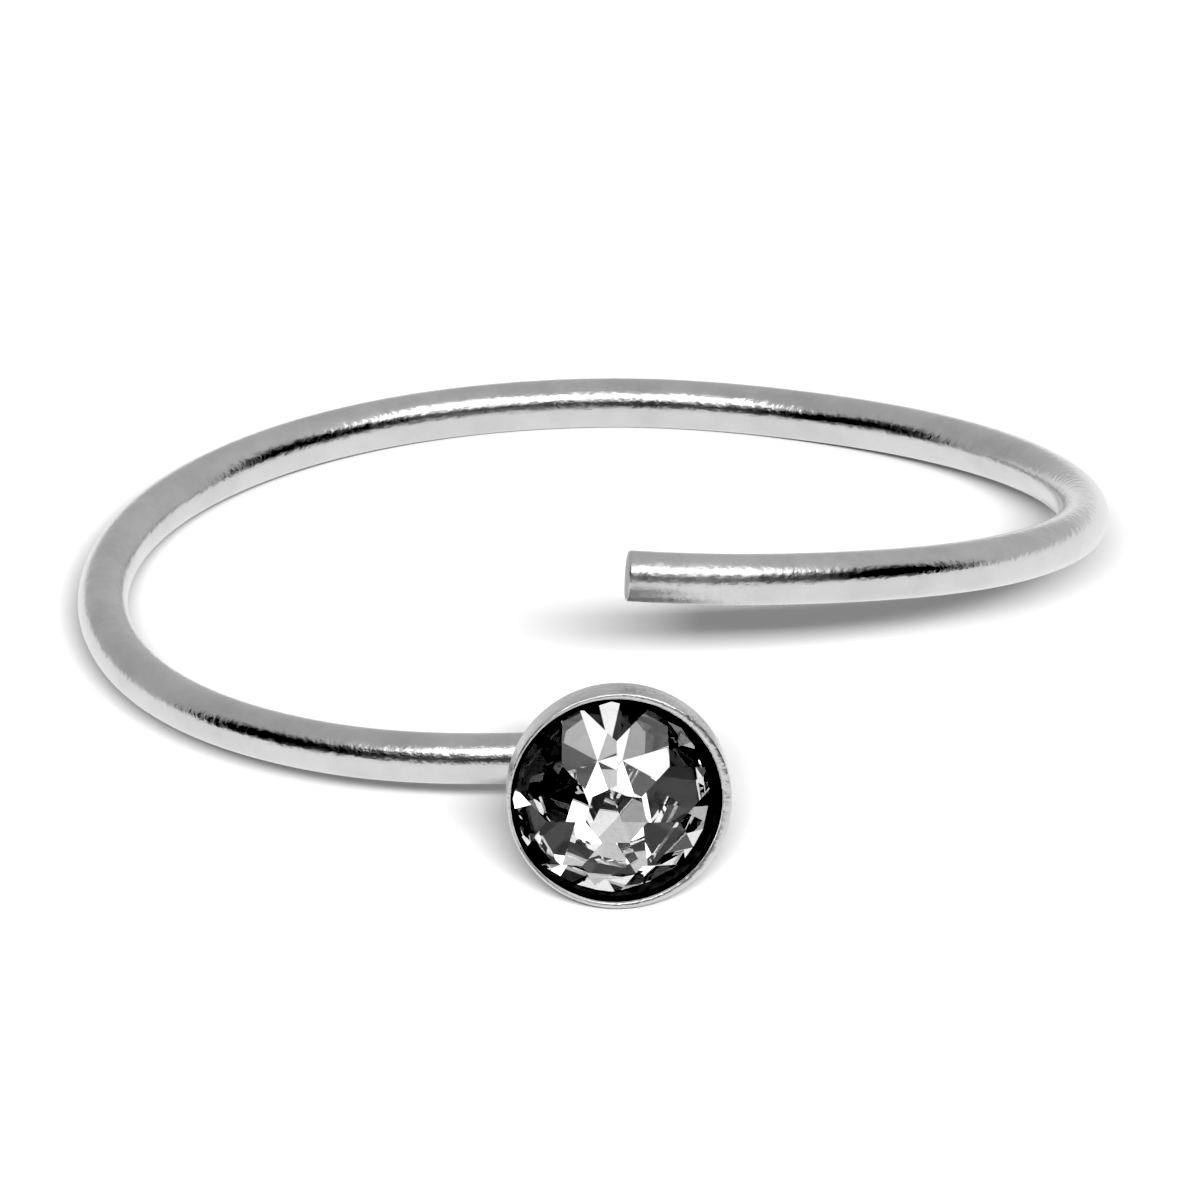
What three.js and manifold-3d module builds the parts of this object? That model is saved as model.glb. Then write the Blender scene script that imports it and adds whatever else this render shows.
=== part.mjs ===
// Nose hoop: one round wire bent to an open hoop, with a crystal in a cup soldered to its front end.
// Millimetres, +Z up. The hoop lies as it comes to rest by itself: on the bottom of the cup, at the
// front (-Y), and on the back of the hoop (+Y). The plain free end of the wire stands clear above.

import * as THREE from 'three';
import { mergeVertices } from 'three/addons/utils/BufferGeometryUtils.js';
import Module from 'manifold-3d';

const wasm = await Module();
wasm.setup();

const DEGREE = Math.PI / 180;

// ---- Wire ----
const wireDiameter = 0.5;
const wireSides = 16;
const wireSteps = 96;
const hoopRadius = 4.89; // to the middle of the wire, seen from above

// Angles round the hoop are in degrees from the middle of its back, positive towards +X.
const cupEndAngle = -182;
const freeEndAngle = 176.1;

// The hoop is sprung open like one turn of a coil. Height is that of the wire's middle over the
// level of the cup's middle, before the hoop is laid down.
const wireRise = [
  { angle: -180, height: 0.02 },
  { angle: -150, height: -0.14 },
  { angle: -120, height: -0.11 },
  { angle: -90, height: 0.12 },
  { angle: -60, height: 0.41 },
  { angle: -30, height: 0.615 },
  { angle: 0, height: 0.71 },
  { angle: 30, height: 0.725 },
  { angle: 60, height: 0.82 },
  { angle: 90, height: 1 },
  { angle: 120, height: 1.31 },
  { angle: 150, height: 1.63 },
  { angle: 180, height: 1.87 },
];
const riseStep = wireRise[1].angle - wireRise[0].angle;

// ---- Cup ----
const cupSides = 48;
const cupDiameter = 2.18;
const cupDepth = 1.27;
const cupBackDiameter = 1.24;
const cupRimWall = 0.065;
const hollowOffCentre = 0.03; // the hollow is a little towards -X, so that side of the rim is thinner
const cupBackWall = 0.12;
const rimDepth = 0.38; // straight part of the wall, outside
const seatDepth = 0.21; // from the rim's face to the top of the stone's seat, inside
const seatWidth = 0.12;
const seatSlope = 0.77; // fall of the seat for its width
const cupStandOff = 0.22; // from the wire's middle to the back of the cup
const cupSideways = 0.217; // of the cup's middle from the hoop's middle, towards +X
const cupTurn = 2; // degrees that the cup faces towards +X
const cupLift = 0.5; // degrees that the cup faces up

// ---- Solder behind the cup ----
const solderDiameter = 1.0;
const solderTopDiameter = 0.6;
const solderHeight = 0.3;

// ---- Stone ----
const stoneDiameter = 1.92; // across the corners of its girdle
const girdleSides = 16;
const girdleHeight = 0.03;
const crownHeight = 0.55; // from the girdle's upper edge to the table
const stoneSetBack = 0.13; // from the rim's face back to the girdle
const stoneOffCentre = 0.07; // the stone sits a little towards -X in its cup
const stoneTurnedUp = 1.4; // degrees, for the stone isn't set quite true
const stoneTurnedRight = 2.5;

// The flat facets, ground in sets, evenly round the stone. Slope is from flat and first is the bearing
// of a set's first facet, in degrees. Reach is how far from the stone's middle the set meets the girdle.
const facetSets = [
  { name: 'crown mains', side: 'crown', count: 7, slope: 38.8, first: 49.6, reach: 0.96 },
  { name: 'crown breaks', side: 'crown', count: 7, slope: 50, first: 23.9, reach: 0.91 },
  { name: 'pavilion mains', side: 'pavilion', count: 7, slope: 36, first: 46, reach: 0.96 },
];

// ---- How it lies ----
const backDown = 8.08; // degrees that the back of the hoop drops as the cup lifts the front
const rightDown = 1.1; // degrees that the +X side drops

const silver = new THREE.MeshStandardMaterial({ name: 'silver', color: 0xc9c9c9, roughness: 0.28, metalness: 1 });
const crystal = new THREE.MeshStandardMaterial({ name: 'crystal', color: 0xe8e8ea, roughness: 0.03, metalness: 0 });

// Height of the wire's middle at an angle round the hoop, on a smooth line through wireRise.
function heightAt(angle) {
  const last = wireRise.length - 1;
  const place = (angle - wireRise[0].angle) / riseStep;
  const row = Math.min(Math.max(Math.floor(place), 0), last - 1);
  const t = place - row;
  const here = wireRise[row].height;
  const next = wireRise[row + 1].height;
  const before = row > 0 ? wireRise[row - 1].height : 2 * here - next;
  const after = row + 2 <= last ? wireRise[row + 2].height : 2 * next - here;
  const slopeHere = (next - before) / 2;
  const slopeNext = (after - here) / 2;
  const blend = t * t * (3 - 2 * t);
  return here * (1 - blend) + next * blend + slopeHere * t * (1 - t) ** 2 - slopeNext * t * t * (1 - t);
}

class HoopCurve extends THREE.Curve {
  getPoint(t, target = new THREE.Vector3()) {
    const angle = cupEndAngle + (freeEndAngle - cupEndAngle) * t;
    const x = hoopRadius * Math.sin(angle * DEGREE);
    const y = hoopRadius * Math.cos(angle * DEGREE);
    return target.set(x, y, heightAt(angle));
  }
}

// A regular outline with its corners on the circle, and a flat at each side.
function roundSection(diameter, sides) {
  const corners = [];
  for (let i = 0; i < sides; i += 1) {
    const turn = ((i + 0.5) / sides) * 2 * Math.PI;
    corners.push(new THREE.Vector2(Math.cos(turn) * diameter / 2, Math.sin(turn) * diameter / 2));
  }
  return new THREE.Shape(corners);
}

function wireGeometry() {
  return new THREE.ExtrudeGeometry(roundSection(wireDiameter, wireSides), {
    steps: wireSteps,
    bevelEnabled: false,
    extrudePath: new HoopCurve(),
  });
}

// A body turned round +Y from its outline, given as radius and height, with a flat side underneath.
function turned(outline) {
  const points = outline.map(([radius, height]) => new THREE.Vector2(radius, height));
  return new THREE.LatheGeometry(points, cupSides, Math.PI / cupSides);
}

// The outside of the cup. Its back is at 0 and its open rim at cupDepth.
function cupOutsideGeometry() {
  const outside = cupDiameter / 2;
  return turned([
    [0, 0],
    [cupBackDiameter / 2, 0],
    [outside, cupDepth - rimDepth],
    [outside, cupDepth],
    [0, cupDepth],
  ]);
}

// The hollow of the cup, out through its rim. The stone sits on the slope.
function cupHollowGeometry() {
  const inside = cupDiameter / 2 - cupRimWall;
  const seatTop = cupDepth - seatDepth;
  const hollow = turned([
    [0, cupBackWall],
    [cupBackDiameter / 2 - cupBackWall, cupBackWall],
    [inside - seatWidth, seatTop - seatWidth * seatSlope],
    [inside, seatTop],
    [inside, 2 * cupDepth],
    [0, 2 * cupDepth],
  ]);
  hollow.translate(-hollowOffCentre, 0, 0);
  return hollow;
}

// A low cone of solder behind the cup, round the wire.
function solderGeometry() {
  return turned([
    [0, -solderHeight],
    [solderTopDiameter / 2, -solderHeight],
    [solderDiameter / 2, 0],
    [solderDiameter / 2, cupBackWall / 2],
    [0, cupBackWall / 2],
  ]);
}

// Puts something made round +Y, from the cup's back to its rim, at the front of the hoop.
function placeAtCup(geometry) {
  geometry.rotateX(Math.PI - cupLift * DEGREE);
  geometry.rotateZ(cupTurn * DEGREE);
  geometry.translate(cupSideways, -hoopRadius - cupStandOff, 0);
  return geometry;
}

function toSolid(geometry) {
  geometry.deleteAttribute('normal');
  geometry.deleteAttribute('uv');
  const merged = mergeVertices(geometry, 1e-5);
  return new wasm.Manifold(new wasm.Mesh({
    numProp: 3,
    vertProperties: new Float32Array(merged.attributes.position.array),
    triVerts: new Uint32Array(merged.index.array),
  }));
}

function toGeometry(solid) {
  const mesh = solid.getMesh();
  const geometry = new THREE.BufferGeometry();
  geometry.setAttribute('position', new THREE.BufferAttribute(mesh.vertProperties, 3));
  geometry.setIndex(new THREE.BufferAttribute(mesh.triVerts, 1));
  geometry.computeVertexNormals();
  return geometry;
}

// Takes off all of a blank that lies beyond one facet's plane.
function grind(blank, slope, bearing, reach, height) {
  const size = 4 * stoneDiameter;
  const waste = new THREE.BoxGeometry(size, size, size);
  waste.translate(0, size / 2, 0);
  waste.rotateX(slope * DEGREE);
  waste.translate(0, height, reach);
  waste.rotateY(bearing * DEGREE);
  return blank.subtract(toSolid(waste));
}

// The stone, ground round +Y from a many-sided blank, with the girdle's upper edge at 0.
function stoneSolid() {
  const radius = stoneDiameter / 2;
  const blank = new THREE.CylinderGeometry(radius, radius, 2 * stoneDiameter, girdleSides);
  let stone = grind(toSolid(blank), 0, 0, 0, crownHeight);
  for (const set of facetSets) {
    const slope = set.side === 'crown' ? set.slope : 180 - set.slope;
    const height = set.side === 'crown' ? 0 : -girdleHeight;
    for (let i = 0; i < set.count; i += 1) {
      stone = grind(stone, slope, set.first + (360 * i) / set.count, set.reach, height);
    }
  }
  return stone;
}

function hoopMesh() {
  const wire = toSolid(wireGeometry());
  const cupOutside = toSolid(placeAtCup(cupOutsideGeometry()));
  const cup = cupOutside.subtract(toSolid(placeAtCup(cupHollowGeometry())));
  const solder = toSolid(placeAtCup(solderGeometry()));
  const mesh = new THREE.Mesh(toGeometry(wire.add(cup).add(solder)), silver);
  mesh.name = 'hoop';
  return mesh;
}

function stoneMesh() {
  const geometry = toGeometry(stoneSolid());
  geometry.rotateZ(-stoneTurnedRight * DEGREE);
  geometry.rotateX(stoneTurnedUp * DEGREE);
  geometry.translate(-stoneOffCentre, cupDepth - stoneSetBack, 0);
  const mesh = new THREE.Mesh(placeAtCup(geometry), crystal);
  mesh.name = 'stone';
  return mesh;
}

// The hoop turned to lie at rest, with the middle of its footprint over the origin and its lowest
// point at zero.
function noseHoop() {
  const laid = new THREE.Group();
  laid.add(hoopMesh(), stoneMesh());
  laid.rotation.set(-backDown * DEGREE, rightDown * DEGREE, 0);
  laid.updateMatrixWorld(true);
  const box = new THREE.Box3().setFromObject(laid, true);
  const middle = box.getCenter(new THREE.Vector3());
  laid.position.set(-middle.x, -middle.y, -box.min.z);
  const group = new THREE.Group();
  group.add(laid);
  return group;
}

export default noseHoop();
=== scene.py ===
"""Nose hoop with a crystal: the finish of its wire, cup, solder and stone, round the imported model."""

import math

import bmesh
import bpy
from mathutils import Matrix, Vector, noise


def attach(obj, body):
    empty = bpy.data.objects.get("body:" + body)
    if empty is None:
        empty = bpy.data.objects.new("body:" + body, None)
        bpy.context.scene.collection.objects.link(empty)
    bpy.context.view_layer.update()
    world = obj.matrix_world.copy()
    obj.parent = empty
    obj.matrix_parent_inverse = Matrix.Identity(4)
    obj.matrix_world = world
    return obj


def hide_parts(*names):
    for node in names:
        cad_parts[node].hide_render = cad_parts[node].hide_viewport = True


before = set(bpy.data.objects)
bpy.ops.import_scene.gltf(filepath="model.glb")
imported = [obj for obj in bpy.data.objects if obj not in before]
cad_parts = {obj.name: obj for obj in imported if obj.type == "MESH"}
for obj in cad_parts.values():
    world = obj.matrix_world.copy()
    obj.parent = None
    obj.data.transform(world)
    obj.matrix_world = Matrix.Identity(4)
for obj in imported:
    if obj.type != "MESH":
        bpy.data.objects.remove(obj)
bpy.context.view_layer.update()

# Pieces are made in millimetres, in the hoop's own frame, and laid down in metres at the end.
METRE = 0.001

# Corners nearer than this to a ring count as on it.
ON_RING = 1e-3

# ---- Wire ----
WIRE_DIAMETER = 0.5
WIRE_SIDES = 56
WIRE_STEP_DEG = 1.0
HOOP_RADIUS = 4.89  # to the middle of the wire, seen from above
CUP_END_DEG = -182
FREE_END_DEG = 176.1
CUT_EDGE = 0.028  # rounding round the cut end
WORN_LENGTH = 2.6  # of the free end, which goes through the piercing

# The hoop is sprung open like one turn of a coil: degrees from the middle of its back, positive
# towards +X, and the height of the wire's middle over the level of the cup's middle.
WIRE_RISE = (
    {"angle": -180, "height": 0.02},
    {"angle": -150, "height": -0.14},
    {"angle": -120, "height": -0.11},
    {"angle": -90, "height": 0.12},
    {"angle": -60, "height": 0.41},
    {"angle": -30, "height": 0.615},
    {"angle": 0, "height": 0.71},
    {"angle": 30, "height": 0.725},
    {"angle": 60, "height": 0.82},
    {"angle": 90, "height": 1},
    {"angle": 120, "height": 1.31},
    {"angle": 150, "height": 1.63},
    {"angle": 180, "height": 1.87},
)

# ---- Cup ----
CUP_STEPS = 160
CUP_DIAMETER = 2.18
CUP_DEPTH = 1.27
CUP_BACK_DIAMETER = 1.24
CUP_RIM_WALL = 0.065
HOLLOW_OFF_CENTRE = 0.03  # the hollow is a little towards -X, so that side of the rim is thinner
CUP_BACK_WALL = 0.12
RIM_DEPTH = 0.38  # straight part of the wall, outside
SEAT_DEPTH = 0.21  # from the rim's face to the top of the stone's seat, inside
SEAT_WIDTH = 0.12
SEAT_SLOPE = 0.77  # fall of the seat for its width
CUP_STAND_OFF = 0.22  # from the wire's middle to the back of the cup
CUP_SIDEWAYS = 0.217  # of the cup's middle from the hoop's middle, towards +X
CUP_TURN_DEG = 2  # that the cup faces towards +X
CUP_LIFT_DEG = 0.5  # that the cup faces up
RIM_ROUNDING = 0.028
RIM_ROUNDING_STEPS = 4
SHOULDER_ROUNDING = 0.02
BACK_ROUNDING = 0.06
ROUNDING_STEPS = 3

# The rim isn't quite flat: it waves, and has small knocks. Each has a height and a count per millimetre.
RIM_WAVE = 0.006
RIM_WAVES_PER_MM = 2.2
RIM_KNOCK = 0.002
RIM_KNOCKS_PER_MM = 5
RIM_KNOCKS_APART = 3  # keeps the knocks from falling in step with the waves

# What is deeper than this under the cup's side, and over its back, is its inside, which is painted nearly black
# as shade.
UNDER_SIDE = 0.03
OVER_BACK = 0.06

# ---- Solder ----
SOLDER_STEPS = 64
SOLDER_DIAMETER = 1.0
SOLDER_TOP_DIAMETER = 0.6
SOLDER_HEIGHT = 0.3
SOLDER_WAIST = {"wider": 0.03, "at": 0.6}
SOLDER_FOOT = {"narrower": 0.1, "at": 0.2}

# ---- Stone ----
STONE_DIAMETER = 1.92  # across the corners of its girdle
STONE_GIRDLE_SIDES = 16
STONE_BLANK_HEIGHT = 4
STONE_SET_BACK = 0.13  # from the rim's face back to the girdle
STONE_OFF_CENTRE = 0.07  # the stone sits a little towards -X in its cup
STONE_TURNED_UP_DEG = 1.4  # for the stone isn't set quite true
STONE_TURNED_RIGHT_DEG = 2.5
CROWN_HEIGHT = 0.55  # from the girdle's upper edge to the table
GIRDLE_HEIGHT = 0.03
CROWN_FACES_UP = 0.02  # faces that look up more than this are bare glass, and the rest have foil

# The flat facets, ground in sets, evenly round the stone: crown mains, crown breaks and pavilion mains.
# Slope is from flat and first is the bearing of a set's first facet, in degrees. Reach is how far from
# the stone's middle the set meets the girdle.
FACET_SETS = (
    {"side": "crown", "count": 7, "slope": 38.8, "first": 49.6, "reach": 0.96},
    {"side": "crown", "count": 7, "slope": 50, "first": 23.9, "reach": 0.91},
    {"side": "pavilion", "count": 7, "slope": 36, "first": 46, "reach": 0.96},
)

# ---- How it lies ----
BACK_DOWN_DEG = 8.08  # that the back of the hoop drops as the cup lifts the front
RIGHT_DOWN_DEG = 1.1  # that the +X side drops

# ---- Finish ----
# Edges sharper than these stay sharp.
METAL_SHARP_DEG = 40
SOLDER_SHARP_DEG = 60
ALL_SHARP = 0

SILVER_TONE = 0.83
SILVER_DULL = (0.66, 0.66, 0.665)
SILVER_BRIGHT = (0.76, 0.76, 0.765)
SILVER_ROUGHNESS = (0.16, 0.25)
SILVER_BUMP = 0.006
CAST_LUMP = 2.0  # how much lumpier cast silver is than drawn
CAST_DULL = 0.08
LUMPS_PER_MM = 13.0
GRAINS_PER_MM = 45.0
DRAWN_LINES_PER_MM = 30.0
DRAWN_STRETCH = 0.06  # the marks of drawing, along the wire
WEAR_PER_MM = 1.7
KNOCKS_PER_MM = 7.0
KNOCK_HEIGHT = 1.1
KNOCK_ROUGHNESS = 0.22
GRAIN_HEIGHT = 0.16
DRAWN_LINE_HEIGHT = 0.14

CUT_END_STRETCH = (1, 3, 0.4)
CUT_END_MARKS_PER_MM = 24.0
CUT_END_DARK = 0.3
CUT_END_LIGHT = 0.52
CUT_END_ROUGHNESS = (0.35, 0.55)
CUT_END_BUMP = 0.012

# The inside of the cup is painted nearly black as the shade in the gap round the stone: dull, mottled and with
# little shine.
SEAT_SPECULAR = 0.1
SEAT_SHADE_MOTTLE_PER_MM = 12.0
SEAT_DARK = 0.001
SEAT_LIGHT = 0.012
SEAT_ROUGHNESS = (0.5, 0.8)

CRYSTAL_TINT = 0.985
CRYSTAL_IOR = 1.52
CRYSTAL_WEAR_PER_MM = 14.0
CRYSTAL_ROUGHNESS = (0.0, 0.02)

FOIL_SPECKS_PER_MM = 22.0
FOIL_DARK = 0.86
FOIL_LIGHT = 0.95
FOIL_ROUGHNESS = (0.02, 0.0)

# ---- Camera ----
CAMERA_DISTANCE = 200
CAMERA_OVER_HOOP_DEG = 17
CAMERA_SIDEWAYS = 0.071  # with the lift, sets the hoop in the middle of the view
CAMERA_LIFT = 0.1
CAMERA_LENS = 601.2
CAMERA_NEAR = 0.01
CAMERA_FAR = 10
SENSOR = 36

# ---- Studio ----
ROOM_LIGHT_LEFT = 0.56
ROOM_LIGHT_RIGHT = 0.67
ROOM_BLEND = 0.6  # how far to each side the room goes from one light to the other
LAMP_LIGHT = 2.2
MIDDLE_LIGHT = 0.085
FLOOR_TONE = 0.3
FLOOR_ROUGHNESS = 0.9
FLOOR_SPECULAR = 0.1
FLOOR_SIZE = 3.0
KEY_POWER = 240
KEY_DISTANCE = 2.0
KEY_WIDTH = 0.8
KEY_HEIGHT = 0.12
KEY_OVER_FLOOR_DEG = 29.5
KEY_RIGHT_DEG = 4
BLACK_LEVEL = 0.035
CRYSTAL_BOUNCES = 12
ALL_BOUNCES = 16

# Where the parts of the room are: low, high and the softness of the edge, in degrees of bearing from
# straight in front, and of rise over the floor.
BEHIND_CAMERA_ACROSS = (-97, 97, 2)
BEHIND_CAMERA_UP = (3, 32, 2)
CARDS_ACROSS = (58, 99, 2)
CARDS_UP = (-20, 36, 1)
LAMP_ACROSS = (-60, 72, 3)
LAMP_UP = (40, 66, 2)
MIDDLE_ACROSS = (-52, 52, 8)
MIDDLE_UP = (3, 32, 2)


# ---------------------------------------------------------------- shapes

def turn(angle_deg, axis):
    """A turn about one axis, as a 4 by 4 matrix."""
    return Matrix.Rotation(math.radians(angle_deg), 4, axis)


def height_at(angle):
    """Height of the wire's middle at an angle round the hoop, on a smooth line through WIRE_RISE."""
    rows = [row["height"] for row in WIRE_RISE]
    step = WIRE_RISE[1]["angle"] - WIRE_RISE[0]["angle"]
    place = (angle - WIRE_RISE[0]["angle"]) / step
    row = min(max(math.floor(place), 0), len(rows) - 2)
    t = place - row
    here = rows[row]
    after = rows[row + 1]
    before = rows[row - 1] if row > 0 else 2 * here - after
    beyond = rows[row + 2] if row + 2 < len(rows) else 2 * after - here
    slope_here = (after - before) / 2
    slope_after = (beyond - here) / 2
    blend = t * t * (3 - 2 * t)
    level = here * (1 - blend) + after * blend
    return level + slope_here * t * (1 - t) ** 2 - slope_after * t * t * (1 - t)


def wire_middle(angle):
    """The middle of the wire at an angle round the hoop."""
    bearing = math.radians(angle)
    return Vector((HOOP_RADIUS * math.sin(bearing), HOOP_RADIUS * math.cos(bearing), height_at(angle)))


def wire_section(angle):
    """Where the wire's section stands at an angle: its middle, with z along the wire and x outwards."""
    reach = WIRE_STEP_DEG / 2
    along = (wire_middle(angle + reach) - wire_middle(angle - reach)).normalized()
    middle = wire_middle(angle)
    outward = Vector((middle.x, middle.y, 0)).normalized()
    upward = along.cross(outward).normalized()
    outward = upward.cross(along).normalized()
    columns = Matrix((outward, upward, along)).transposed()
    return Matrix.Translation(middle) @ columns.to_4x4()


def round_edges(shape, edges, size, segments):
    """Rounds these edges of a shape."""
    bmesh.ops.bevel(
        shape,
        geom=edges,
        offset=size,
        offset_type="OFFSET",
        segments=segments,
        affect="EDGES",
        profile=0.5,
        material=-1,
        clamp_overlap=True,
    )


def close_up(shape):
    """Merges what meets and turns every face outwards."""
    bmesh.ops.remove_doubles(shape, verts=shape.verts, dist=1e-4)
    bmesh.ops.recalc_face_normals(shape, faces=shape.faces)


def open_edges(shape):
    """The edges of a shape that have a face on one side only."""
    return [edge for edge in shape.edges if edge.is_boundary]


def make_wire():
    """One length of round wire bent to the hoop. The attribute 'drawn' keeps each point's place in
    the straight wire, before it was bent, so that the marks of drawing run along it."""
    shape = bmesh.new()
    drawn = shape.verts.layers.float_vector.new("drawn")
    count = round((FREE_END_DEG - CUP_END_DEG) / WIRE_STEP_DEG)
    angles = [CUP_END_DEG + (FREE_END_DEG - CUP_END_DEG) * i / count for i in range(count + 1)]
    ring = bmesh.ops.create_circle(shape, cap_ends=True, radius=WIRE_DIAMETER / 2, segments=WIRE_SIDES)["verts"]
    stand = Matrix.Identity(4)
    length = 0
    for number, angle in enumerate(angles):
        section = wire_section(angle)
        if number > 0:
            rim = list(shape.edges) if number == 1 else open_edges(shape)
            made = bmesh.ops.extrude_edge_only(shape, edges=rim)["geom"]
            ring = [part for part in made if isinstance(part, bmesh.types.BMVert)]
            length += (section.translation - stand.translation).length
        bmesh.ops.transform(shape, matrix=section @ stand.inverted(), verts=ring)
        for corner in ring:
            place = section.inverted() @ corner.co
            corner[drawn] = Vector((place.x, place.y, length))
        stand = section
    end = bmesh.ops.contextual_create(shape, geom=open_edges(shape))["faces"][0]
    end.material_index = 1
    round_edges(shape, list(end.edges), CUT_EDGE, ROUNDING_STEPS)
    bmesh.ops.recalc_face_normals(shape, faces=shape.faces)
    return shape


def spun(outline, steps):
    """A body turned round +Y from its outline, given as radius and height."""
    shape = bmesh.new()
    corners = [shape.verts.new((radius, height, 0)) for radius, height in outline]
    edges = [shape.edges.new(pair) for pair in zip(corners, corners[1:])]
    bmesh.ops.spin(
        shape,
        geom=corners + edges,
        cent=(0, 0, 0),
        axis=(0, 1, 0),
        angle=2 * math.pi,
        steps=steps,
        use_merge=True,
    )
    close_up(shape)
    return shape


def at_cup(shape):
    """Puts something made round +Y, from the cup's back to its rim, at the front of the hoop."""
    place = Matrix.Translation((CUP_SIDEWAYS, -HOOP_RADIUS - CUP_STAND_OFF, 0))
    place = place @ turn(CUP_TURN_DEG, "Z") @ turn(180 - CUP_LIFT_DEG, "X")
    bmesh.ops.transform(shape, matrix=place, verts=shape.verts)
    return shape


def ring_edges(shape, height, radii):
    """The edges of the rings that have these radii at one height of a shape turned round +Y."""
    def is_on(corner, radius):
        return abs(corner.co.y - height) < ON_RING and abs(corner.co.xz.length - radius) < ON_RING

    def is_ring(edge):
        return any(all(is_on(corner, radius) for corner in edge.verts) for radius in radii)

    return [edge for edge in shape.edges if is_ring(edge)]


def make_cup():
    """The setting: a thin-walled cup with a tapering back, open at the rim, with a sloping seat inside."""
    outside = CUP_DIAMETER / 2
    inside = outside - CUP_RIM_WALL
    back = CUP_BACK_DIAMETER / 2
    shoulder = CUP_DEPTH - RIM_DEPTH
    seat_top = CUP_DEPTH - SEAT_DEPTH
    shape = spun(
        (
            (0, 0),
            (back, 0),
            (outside, shoulder),
            (outside, CUP_DEPTH),
            (inside, CUP_DEPTH),
            (inside, seat_top),
            (inside - SEAT_WIDTH, seat_top - SEAT_WIDTH * SEAT_SLOPE),
            (back - CUP_BACK_WALL, CUP_BACK_WALL),
            (0, CUP_BACK_WALL),
        ),
        CUP_STEPS,
    )
    round_edges(shape, ring_edges(shape, CUP_DEPTH, (outside, inside)), RIM_ROUNDING, RIM_ROUNDING_STEPS)
    round_edges(shape, ring_edges(shape, shoulder, (outside,)), SHOULDER_ROUNDING, ROUNDING_STEPS)
    round_edges(shape, ring_edges(shape, 0, (back,)), BACK_ROUNDING, ROUNDING_STEPS)
    for corner in shape.verts:
        near_rim = max(0, 1 - (CUP_DEPTH - corner.co.y) / RIM_DEPTH)
        wave = noise.noise(Vector((corner.co.x, 0, corner.co.z)) * RIM_WAVES_PER_MM)
        knock = noise.noise(Vector((corner.co.x, RIM_KNOCKS_APART, corner.co.z)) * RIM_KNOCKS_PER_MM)
        corner.co.y += near_rim * (RIM_WAVE * wave + RIM_KNOCK * near_rim * knock)
        if corner.co.y > CUP_BACK_WALL / 2:
            inward = (outside - corner.co.xz.length) / CUP_RIM_WALL
            corner.co.x -= HOLLOW_OFF_CENTRE * min(max(inward, 0), 1)
    # The inside of the cup gets the near-black material, which is painted shade for the gap round the stone.
    for face in shape.faces:
        face.material_index = 1 if is_inside_cup(face.calc_center_median()) else 0
    return at_cup(shape)


def is_inside_cup(point):
    """True for the cup's inner wall, seat and floor, below its rounded rim, which are painted dark as shade."""
    outside = CUP_DIAMETER / 2
    back = CUP_BACK_DIAMETER / 2
    taper = (outside - back) / (CUP_DEPTH - RIM_DEPTH)
    skin = min(outside, back + taper * point.y) - UNDER_SIDE
    return OVER_BACK < point.y < CUP_DEPTH - RIM_ROUNDING and point.xz.length < skin


def make_solder():
    """The solder that ran round the wire behind the cup, and set as a low fillet."""
    top = SOLDER_TOP_DIAMETER / 2
    foot = SOLDER_DIAMETER / 2
    shape = spun(
        (
            (0, -SOLDER_HEIGHT),
            (top, -SOLDER_HEIGHT),
            (top + SOLDER_WAIST["wider"], -SOLDER_HEIGHT * SOLDER_WAIST["at"]),
            (foot - SOLDER_FOOT["narrower"], -SOLDER_HEIGHT * SOLDER_FOOT["at"]),
            (foot, 0),
            (foot, CUP_BACK_WALL / 2),
            (0, CUP_BACK_WALL / 2),
        ),
        SOLDER_STEPS,
    )
    return at_cup(shape)


def grind(shape, slope_deg, bearing_deg, reach, height):
    """Grinds one flat facet on the stone. The slope is from flat, the bearing is round the stone, and
    the facet's plane passes the given distance from the axis at the given height."""
    slope = math.radians(slope_deg)
    bearing = math.radians(bearing_deg)
    side = Vector((math.sin(bearing), 0, math.cos(bearing)))
    normal = side * math.sin(slope) + Vector((0, math.cos(slope), 0))
    bmesh.ops.bisect_plane(
        shape,
        geom=shape.verts[:] + shape.edges[:] + shape.faces[:],
        dist=1e-5,
        plane_co=side * reach + Vector((0, height, 0)),
        plane_no=normal,
        clear_outer=True,
    )
    edges = open_edges(shape)
    if edges:
        bmesh.ops.holes_fill(shape, edges=edges, sides=0)


def make_stone():
    """The crystal, cut as a brilliant round +Y with the upper edge of its girdle at 0."""
    shape = bmesh.new()
    bmesh.ops.create_cone(
        shape,
        cap_ends=True,
        segments=STONE_GIRDLE_SIDES,
        radius1=STONE_DIAMETER / 2,
        radius2=STONE_DIAMETER / 2,
        depth=STONE_BLANK_HEIGHT,
        matrix=turn(90, "X"),
    )
    grind(shape, 0, 0, 0, CROWN_HEIGHT)
    for row in FACET_SETS:
        crown = row["side"] == "crown"
        slope = row["slope"] if crown else 180 - row["slope"]
        height = 0 if crown else -GIRDLE_HEIGHT
        for number in range(row["count"]):
            bearing = row["first"] + 360 * number / row["count"]
            grind(shape, slope, bearing, row["reach"], height)
    close_up(shape)
    for face in shape.faces:
        face.material_index = 0 if face.normal.y > CROWN_FACES_UP else 1
    move = Matrix.Translation((-STONE_OFF_CENTRE, CUP_DEPTH - STONE_SET_BACK, 0))
    move = move @ turn(STONE_TURNED_UP_DEG, "X") @ turn(-STONE_TURNED_RIGHT_DEG, "Z")
    bmesh.ops.transform(shape, matrix=move, verts=shape.verts)
    return at_cup(shape)


# ---------------------------------------------------------------- laying down

LAID = turn(-BACK_DOWN_DEG, "X") @ turn(RIGHT_DOWN_DEG, "Y")


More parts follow.
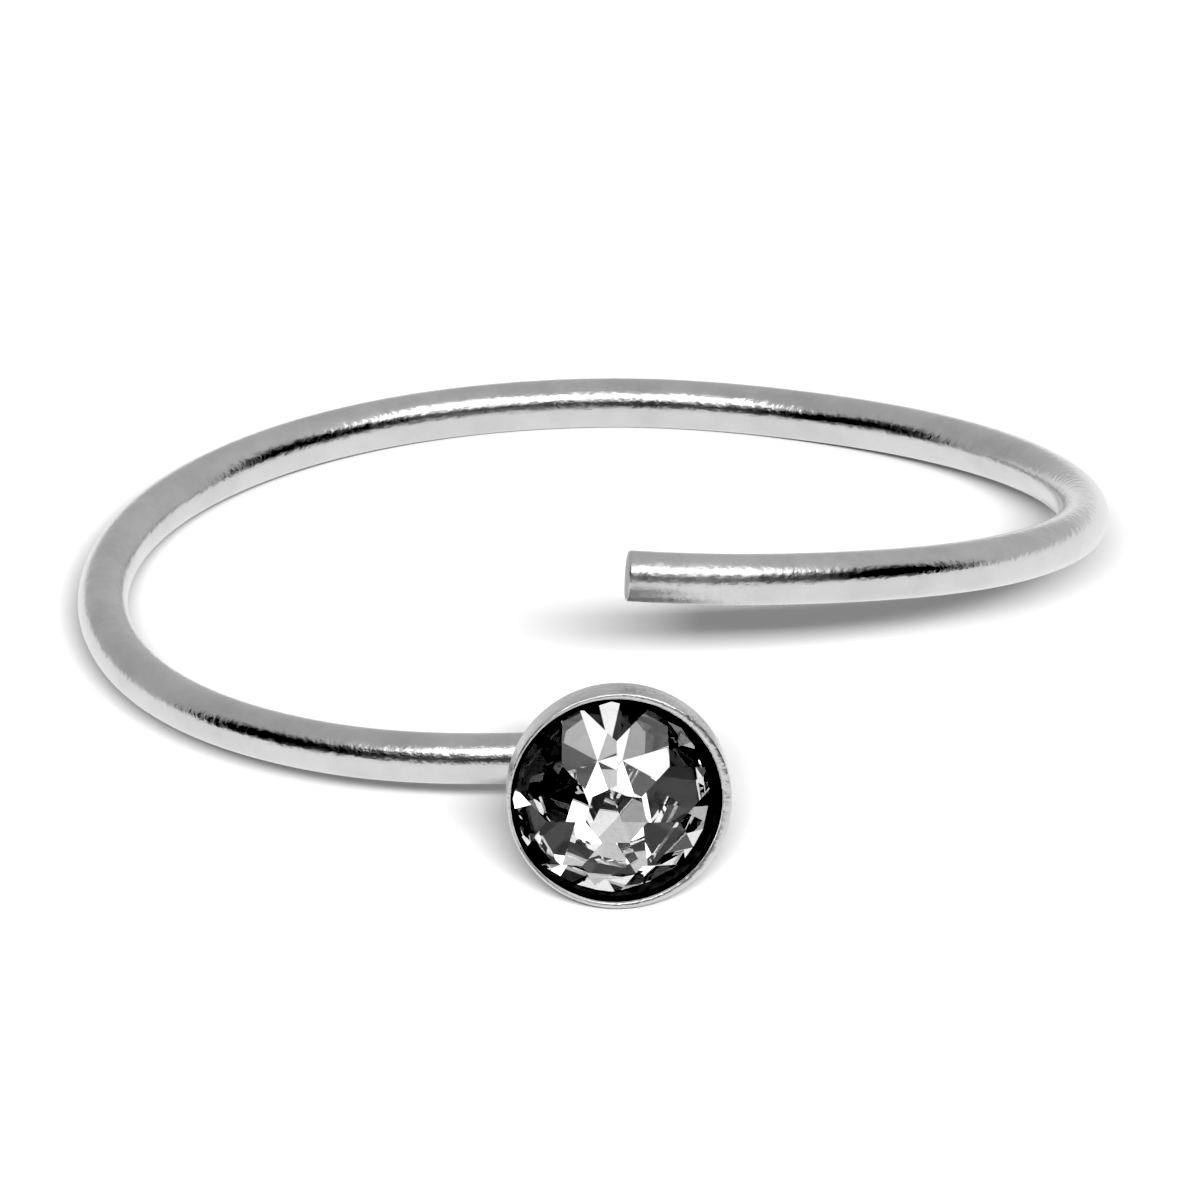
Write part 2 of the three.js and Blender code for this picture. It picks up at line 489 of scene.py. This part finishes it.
def resting_place(shapes):
    """The matrix that lays the hoop down at rest, its box's middle over the origin, in metres."""
    points = [LAID @ corner.co for shape in shapes for corner in shape.verts]
    low = [min(point[i] for point in points) for i in range(3)]
    high = [max(point[i] for point in points) for i in range(3)]
    move = Vector((-(low[0] + high[0]) / 2, -(low[1] + high[1]) / 2, -low[2]))
    return Matrix.Scale(METRE, 4) @ Matrix.Translation(move) @ LAID


def finish_piece(name, shape, place, materials, node, smooth_deg):
    """Makes a finished piece of a shape: its place in its mesh, its materials, and what it stands for."""
    bmesh.ops.transform(shape, matrix=place, verts=shape.verts)
    mesh = bpy.data.meshes.new(name)
    shape.to_mesh(mesh)
    shape.free()
    for material in materials:
        mesh.materials.append(material)
    piece = bpy.data.objects.new(name, mesh)
    bpy.context.scene.collection.objects.link(piece)
    if smooth_deg:
        for face in mesh.polygons:
            face.use_smooth = True
        mesh.set_sharp_from_angle(angle=math.radians(smooth_deg))
    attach(piece, "root")
    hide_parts(node)


# ---------------------------------------------------------------- materials

def new_material(name):
    """A new node material, its tree, and its Principled shader."""
    material = bpy.data.materials.new(name)
    material.use_nodes = True
    return material, material.node_tree, material.node_tree.nodes["Principled BSDF"]


def add_node(tree, kind, **values):
    """A node of a kind, with its plain settings."""
    node = tree.nodes.new(kind)
    for name, value in values.items():
        setattr(node, name, value)
    return node


def add_noise(tree, vector, scale, detail, roughness):
    """A noise pattern over a vector, in marks per millimetre."""
    node = add_node(tree, "ShaderNodeTexNoise")
    node.inputs["Scale"].default_value = scale
    node.inputs["Detail"].default_value = detail
    node.inputs["Roughness"].default_value = roughness
    tree.links.new(vector, node.inputs["Vector"])
    return node.outputs["Fac"]


def add_range(tree, value, low, high, to_low, to_high):
    """Carries a value from one range into another, and holds it there."""
    node = add_node(tree, "ShaderNodeMapRange", clamp=True)
    for name, number in (("From Min", low), ("From Max", high), ("To Min", to_low), ("To Max", to_high)):
        node.inputs[name].default_value = number
    tree.links.new(value, node.inputs["Value"])
    return node.outputs["Result"]


def add_sum(tree, operation, first, second):
    """A sum of two values or sockets."""
    node = add_node(tree, "ShaderNodeMath", operation=operation)
    for socket, value in zip(node.inputs, (first, second)):
        if isinstance(value, bpy.types.NodeSocket):
            tree.links.new(value, socket)
        else:
            socket.default_value = value
    return node.outputs["Value"]


def grey(tone):
    """A grey of one tone."""
    return (tone, tone, tone)


def add_ramp(tree, value, low, low_colour, high, high_colour):
    """A colour that goes from one to the other as the value goes from low to high."""
    node = add_node(tree, "ShaderNodeValToRGB")
    first, last = node.color_ramp.elements
    first.position = low
    first.color = (*low_colour, 1)
    last.position = high
    last.color = (*high_colour, 1)
    tree.links.new(value, node.inputs["Fac"])
    return node.outputs["Color"]


def add_bump(tree, shader, height, depth):
    """Raises the shader's surface by a height, so many millimetres deep."""
    node = add_node(tree, "ShaderNodeBump")
    node.inputs["Strength"].default_value = 1.0
    node.inputs["Distance"].default_value = depth * METRE
    tree.links.new(height, node.inputs["Height"])
    tree.links.new(node.outputs["Normal"], shader.inputs["Normal"])


def stretched(tree, vector, scale):
    """A vector scaled along each axis."""
    node = add_node(tree, "ShaderNodeMapping")
    node.inputs["Scale"].default_value = scale
    tree.links.new(vector, node.inputs["Vector"])
    return node.outputs["Vector"]


def place_on_piece(tree):
    """The place on the piece, in millimetres."""
    coordinates = add_node(tree, "ShaderNodeTexCoord")
    return stretched(tree, coordinates.outputs["Object"], (1 / METRE, 1 / METRE, 1 / METRE))


def silver_skin_group():
    """The skin of silver: lumps, pits, rubbing and fine grain, as a roughness, a height and a colour.
    It reads millimetres, so one skin serves the wire, the cup and the solder."""
    group = bpy.data.node_groups.new("silver skin", "ShaderNodeTree")
    sockets = (
        ("Place", "INPUT", "NodeSocketVector"),
        ("Grain", "INPUT", "NodeSocketVector"),
        ("Lump", "INPUT", "NodeSocketFloat"),
        ("Worn", "INPUT", "NodeSocketFloat"),
        ("Dull", "INPUT", "NodeSocketFloat"),
        ("Tone", "INPUT", "NodeSocketFloat"),
        ("Roughness", "OUTPUT", "NodeSocketFloat"),
        ("Height", "OUTPUT", "NodeSocketFloat"),
        ("Color", "OUTPUT", "NodeSocketColor"),
    )
    for name, way, kind in sockets:
        group.interface.new_socket(name=name, in_out=way, socket_type=kind)
    source = add_node(group, "NodeGroupInput")
    sink = add_node(group, "NodeGroupOutput")
    place = source.outputs["Place"]
    lumps = add_noise(group, place, LUMPS_PER_MM, 2.0, 0.5)
    grains = add_noise(group, place, GRAINS_PER_MM, 2.0, 0.6)
    lines = add_noise(group, source.outputs["Grain"], DRAWN_LINES_PER_MM, 2.0, 0.6)
    wear = add_noise(group, place, WEAR_PER_MM, 4.0, 0.65)
    knocks = add_noise(group, place, KNOCKS_PER_MM, 3.0, 0.55)
    knocks = add_sum(group, "MULTIPLY", knocks, source.outputs["Worn"])
    height = add_sum(group, "MULTIPLY", lumps, source.outputs["Lump"])
    height = add_sum(group, "ADD", height, add_sum(group, "MULTIPLY", knocks, KNOCK_HEIGHT))
    height = add_sum(group, "ADD", height, add_sum(group, "MULTIPLY", grains, GRAIN_HEIGHT))
    height = add_sum(group, "ADD", height, add_sum(group, "MULTIPLY", lines, DRAWN_LINE_HEIGHT))
    group.links.new(height, sink.inputs["Height"])
    rough = add_range(group, wear, 0.3, 0.7, *SILVER_ROUGHNESS)
    rough = add_sum(group, "ADD", rough, source.outputs["Dull"])
    rough = add_sum(group, "ADD", rough, add_sum(group, "MULTIPLY", knocks, KNOCK_ROUGHNESS))
    group.links.new(rough, sink.inputs["Roughness"])
    colour = add_ramp(group, wear, 0.32, SILVER_DULL, 0.62, SILVER_BRIGHT)
    tint = add_node(group, "ShaderNodeVectorMath", operation="SCALE")
    group.links.new(colour, tint.inputs[0])
    group.links.new(source.outputs["Tone"], tint.inputs["Scale"])
    group.links.new(tint.outputs["Vector"], sink.inputs["Color"])
    return group


def silver_material(name, skin, lump, dull, drawn):
    """Silver with the silver skin. Wire is drawn, so its grain runs along it, and it is knocked and
    worn towards its free end, which goes through the piercing; the rest is cast."""
    material, tree, shader = new_material(name)
    shader.inputs["Metallic"].default_value = 1.0
    cover = add_node(tree, "ShaderNodeGroup", node_tree=skin)
    cover.inputs["Dull"].default_value = dull
    cover.inputs["Tone"].default_value = SILVER_TONE
    cover.inputs["Lump"].default_value = lump
    place = place_on_piece(tree)
    grain = place
    if drawn:
        straight = add_node(tree, "ShaderNodeAttribute", attribute_name="drawn").outputs["Vector"]
        grain = stretched(tree, straight, (1, 1, DRAWN_STRETCH))
        split = add_node(tree, "ShaderNodeSeparateXYZ")
        tree.links.new(straight, split.inputs["Vector"])
        length = HOOP_RADIUS * math.radians(FREE_END_DEG - CUP_END_DEG)
        worn = add_range(tree, split.outputs["Z"], length - WORN_LENGTH, length, 0, 1)
        tree.links.new(worn, cover.inputs["Worn"])
    tree.links.new(place, cover.inputs["Place"])
    tree.links.new(grain, cover.inputs["Grain"])
    add_bump(tree, shader, cover.outputs["Height"], SILVER_BUMP)
    tree.links.new(cover.outputs["Roughness"], shader.inputs["Roughness"])
    tree.links.new(cover.outputs["Color"], shader.inputs["Base Color"])
    return material


def cut_end_material():
    """The sheared end of the wire: dull, with the marks of the cutters across it."""
    material, tree, shader = new_material("sheared end")
    shader.inputs["Metallic"].default_value = 1.0
    marks = stretched(tree, place_on_piece(tree), CUT_END_STRETCH)
    torn = add_noise(tree, marks, CUT_END_MARKS_PER_MM, 3.0, 0.6)
    colour = add_ramp(tree, torn, 0.3, grey(CUT_END_DARK), 0.7, grey(CUT_END_LIGHT))
    tree.links.new(colour, shader.inputs["Base Color"])
    tree.links.new(add_range(tree, torn, 0.3, 0.7, *CUT_END_ROUGHNESS), shader.inputs["Roughness"])
    add_bump(tree, shader, torn, CUT_END_BUMP)
    return material


def painted_shade_seat_material():
    """The inside of the cup, painted nearly black as the shade in the gap round the stone, with a faint mottle.
    """
    material, tree, shader = new_material("seat painted dark as shade")
    shader.inputs["Metallic"].default_value = 0.0
    shader.inputs["Specular IOR Level"].default_value = SEAT_SPECULAR
    shade_mottle = add_noise(tree, place_on_piece(tree), SEAT_SHADE_MOTTLE_PER_MM, 4.0, 0.6)
    colour = add_ramp(tree, shade_mottle, 0, grey(SEAT_DARK), 1, grey(SEAT_LIGHT))
    tree.links.new(colour, shader.inputs["Base Color"])
    tree.links.new(add_range(tree, shade_mottle, 0.3, 0.7, *SEAT_ROUGHNESS), shader.inputs["Roughness"])
    return material


def crystal_material():
    """Clear cut glass, with the faint wear of its facets."""
    material, tree, shader = new_material("clear crystal")
    shader.inputs["Base Color"].default_value = (*grey(CRYSTAL_TINT), 1)
    shader.inputs["IOR"].default_value = CRYSTAL_IOR
    shader.inputs["Transmission Weight"].default_value = 1.0
    wear = add_noise(tree, place_on_piece(tree), CRYSTAL_WEAR_PER_MM, 4.0, 0.7)
    tree.links.new(add_range(tree, wear, 0.6, 0.85, *CRYSTAL_ROUGHNESS), shader.inputs["Roughness"])
    return material


def foil_material():
    """The mirror foil on the back of the crystal."""
    material, tree, shader = new_material("mirror foil")
    shader.inputs["Metallic"].default_value = 1.0
    specks = add_noise(tree, place_on_piece(tree), FOIL_SPECKS_PER_MM, 3.0, 0.7)
    colour = add_ramp(tree, specks, 0.3, grey(FOIL_DARK), 0.55, grey(FOIL_LIGHT))
    tree.links.new(colour, shader.inputs["Base Color"])
    tree.links.new(add_range(tree, specks, 0.3, 0.7, *FOIL_ROUGHNESS), shader.inputs["Roughness"])
    return material


def floor_material():
    """A plain floor, which the key light makes white."""
    material, _, shader = new_material("pale floor")
    shader.inputs["Base Color"].default_value = (*grey(FLOOR_TONE), 1)
    shader.inputs["Roughness"].default_value = FLOOR_ROUGHNESS
    shader.inputs["Specular IOR Level"].default_value = FLOOR_SPECULAR
    return material


# ---------------------------------------------------------------- studio

def band(tree, value, low, high, soft):
    """One between low and high, and nought outside, with soft edges."""
    rise = add_range(tree, value, low - soft, low + soft, 0, 1)
    fall = add_range(tree, value, high - soft, high + soft, 1, 0)
    return add_sum(tree, "MULTIPLY", rise, fall)


def part_of_room(tree, bearing, rise, across, up):
    """One in the part of the room between two bearings and two rises, and nought outside."""
    return add_sum(tree, "MULTIPLY", band(tree, bearing, *across), band(tree, rise, *up))


def make_studio():
    """Soft studio light: a grey room, a wide lamp in front and above, and the dark of the room round
    the camera and beside it, which gives the metal its dark line. A weak glow in the middle of that
    dark lights all but what is seen through the crystal. To the camera itself the room is white."""
    world = bpy.data.worlds.new("studio")
    bpy.context.scene.world = world
    world.use_nodes = True
    tree = world.node_tree
    ground = tree.nodes["Background"]
    way = add_node(tree, "ShaderNodeTexCoord")
    split = add_node(tree, "ShaderNodeSeparateXYZ")
    tree.links.new(way.outputs["Generated"], split.inputs["Vector"])
    rise = add_sum(tree, "ARCSINE", split.outputs["Z"], 0)
    rise = add_sum(tree, "MULTIPLY", rise, math.degrees(1))
    forward = add_sum(tree, "MULTIPLY", split.outputs["Y"], -1)
    bearing = add_sum(tree, "ARCTAN2", split.outputs["X"], forward)
    bearing = add_sum(tree, "MULTIPLY", bearing, math.degrees(1))
    side = add_sum(tree, "ABSOLUTE", bearing, 0)
    behind = part_of_room(tree, bearing, rise, BEHIND_CAMERA_ACROSS, BEHIND_CAMERA_UP)
    cards = part_of_room(tree, side, rise, CARDS_ACROSS, CARDS_UP)
    lamp = part_of_room(tree, bearing, rise, LAMP_ACROSS, LAMP_UP)
    middle = part_of_room(tree, bearing, rise, MIDDLE_ACROSS, MIDDLE_UP)
    dark = add_sum(tree, "MAXIMUM", behind, cards)
    level = add_range(tree, split.outputs["X"], -ROOM_BLEND, ROOM_BLEND, ROOM_LIGHT_LEFT, ROOM_LIGHT_RIGHT)
    room = add_sum(tree, "MULTIPLY", add_sum(tree, "SUBTRACT", 1, dark), level)
    glow = add_sum(tree, "MULTIPLY", lamp, LAMP_LIGHT)
    path = add_node(tree, "ShaderNodeLightPath")
    bare = add_sum(tree, "SUBTRACT", 1, path.outputs["Is Transmission Ray"])
    middle = add_sum(tree, "MULTIPLY", middle, bare)
    middle = add_sum(tree, "MULTIPLY", middle, MIDDLE_LIGHT)
    total = add_sum(tree, "ADD", add_sum(tree, "ADD", room, glow), middle)
    seen = path.outputs["Is Camera Ray"]
    total = add_sum(tree, "MULTIPLY", total, add_sum(tree, "SUBTRACT", 1, seen))
    total = add_sum(tree, "ADD", total, seen)
    tree.links.new(total, ground.inputs["Strength"])
    ground.inputs["Color"].default_value = (1, 1, 1, 1)


def make_key():
    """A long strip light in front, low enough that the raised wire's shadow falls just behind it and
    fades out sideways. Neither the metal nor the crystal shows it."""
    data = bpy.data.lights.new("key", "AREA")
    data.shape = "RECTANGLE"
    data.size = KEY_WIDTH
    data.size_y = KEY_HEIGHT
    data.energy = KEY_POWER
    key = bpy.data.objects.new("key", data)
    bpy.context.scene.collection.objects.link(key)
    rise = math.radians(KEY_OVER_FLOOR_DEG)
    bearing = math.radians(KEY_RIGHT_DEG)
    away = KEY_DISTANCE * math.cos(rise)
    key.location = (away * math.sin(bearing), -away * math.cos(bearing), KEY_DISTANCE * math.sin(rise))
    key.rotation_euler = (math.radians(90) - rise, 0, bearing)
    key.visible_glossy = False
    key.visible_transmission = False


def make_floor():
    """The floor that the hoop lies on."""
    shape = bmesh.new()
    bmesh.ops.create_grid(shape, x_segments=1, y_segments=1, size=FLOOR_SIZE / 2)
    mesh = bpy.data.meshes.new("floor")
    shape.to_mesh(mesh)
    shape.free()
    mesh.materials.append(floor_material())
    floor = bpy.data.objects.new("floor", mesh)
    bpy.context.scene.collection.objects.link(floor)


def make_camera(place):
    """The camera, in front of the hoop and over its plane. The plane leans back, so the camera is
    higher over the floor than over the plane."""
    data = bpy.data.cameras.new("camera")
    data.lens = CAMERA_LENS
    data.sensor_width = SENSOR
    data.clip_start = CAMERA_NEAR
    data.clip_end = CAMERA_FAR
    camera = bpy.data.objects.new("camera", data)
    bpy.context.scene.collection.objects.link(camera)
    over = math.radians(CAMERA_OVER_HOOP_DEG)
    back = Vector((0, -math.cos(over), math.sin(over)))
    stand = Matrix.Translation(back * CAMERA_DISTANCE + Vector((CAMERA_SIDEWAYS, 0, CAMERA_LIFT)))
    stand = place @ stand @ turn(90 - CAMERA_OVER_HOOP_DEG, "X")
    where, facing, _ = stand.decompose()
    camera.location = where
    camera.rotation_euler = facing.to_euler()
    bpy.context.scene.camera = camera


def set_view():
    """Deep blacks, and enough bounces for light to find its way out of the crystal."""
    scene = bpy.context.scene
    scene.view_settings.view_transform = "Standard"
    scene.view_settings.use_curve_mapping = True
    scene.view_settings.curve_mapping.black_level = grey(BLACK_LEVEL)
    scene.view_settings.curve_mapping.update()
    scene.cycles.glossy_bounces = CRYSTAL_BOUNCES
    scene.cycles.transmission_bounces = CRYSTAL_BOUNCES
    scene.cycles.max_bounces = ALL_BOUNCES


def main():
    """Makes the hoop, its crystal and the studio."""
    wire = make_wire()
    cup = make_cup()
    solder = make_solder()
    stone = make_stone()
    place = resting_place((wire, cup, solder, stone))
    skin = silver_skin_group()
    drawn_silver = silver_material("drawn silver", skin, 1.0, 0.0, True)
    cast_silver = silver_material("cast silver", skin, CAST_LUMP, CAST_DULL, False)
    wire_skins = [drawn_silver, cut_end_material()]
    cup_skins = [cast_silver, painted_shade_seat_material()]
    stone_skins = [crystal_material(), foil_material()]
    finish_piece("hoop_wire", wire, place, wire_skins, "hoop", METAL_SHARP_DEG)
    finish_piece("stone_cup", cup, place, cup_skins, "hoop", METAL_SHARP_DEG)
    finish_piece("solder", solder, place, [cast_silver], "hoop", SOLDER_SHARP_DEG)
    finish_piece("crystal", stone, place, stone_skins, "stone", ALL_SHARP)
    make_camera(place)
    make_floor()
    make_studio()
    make_key()
    set_view()


main()
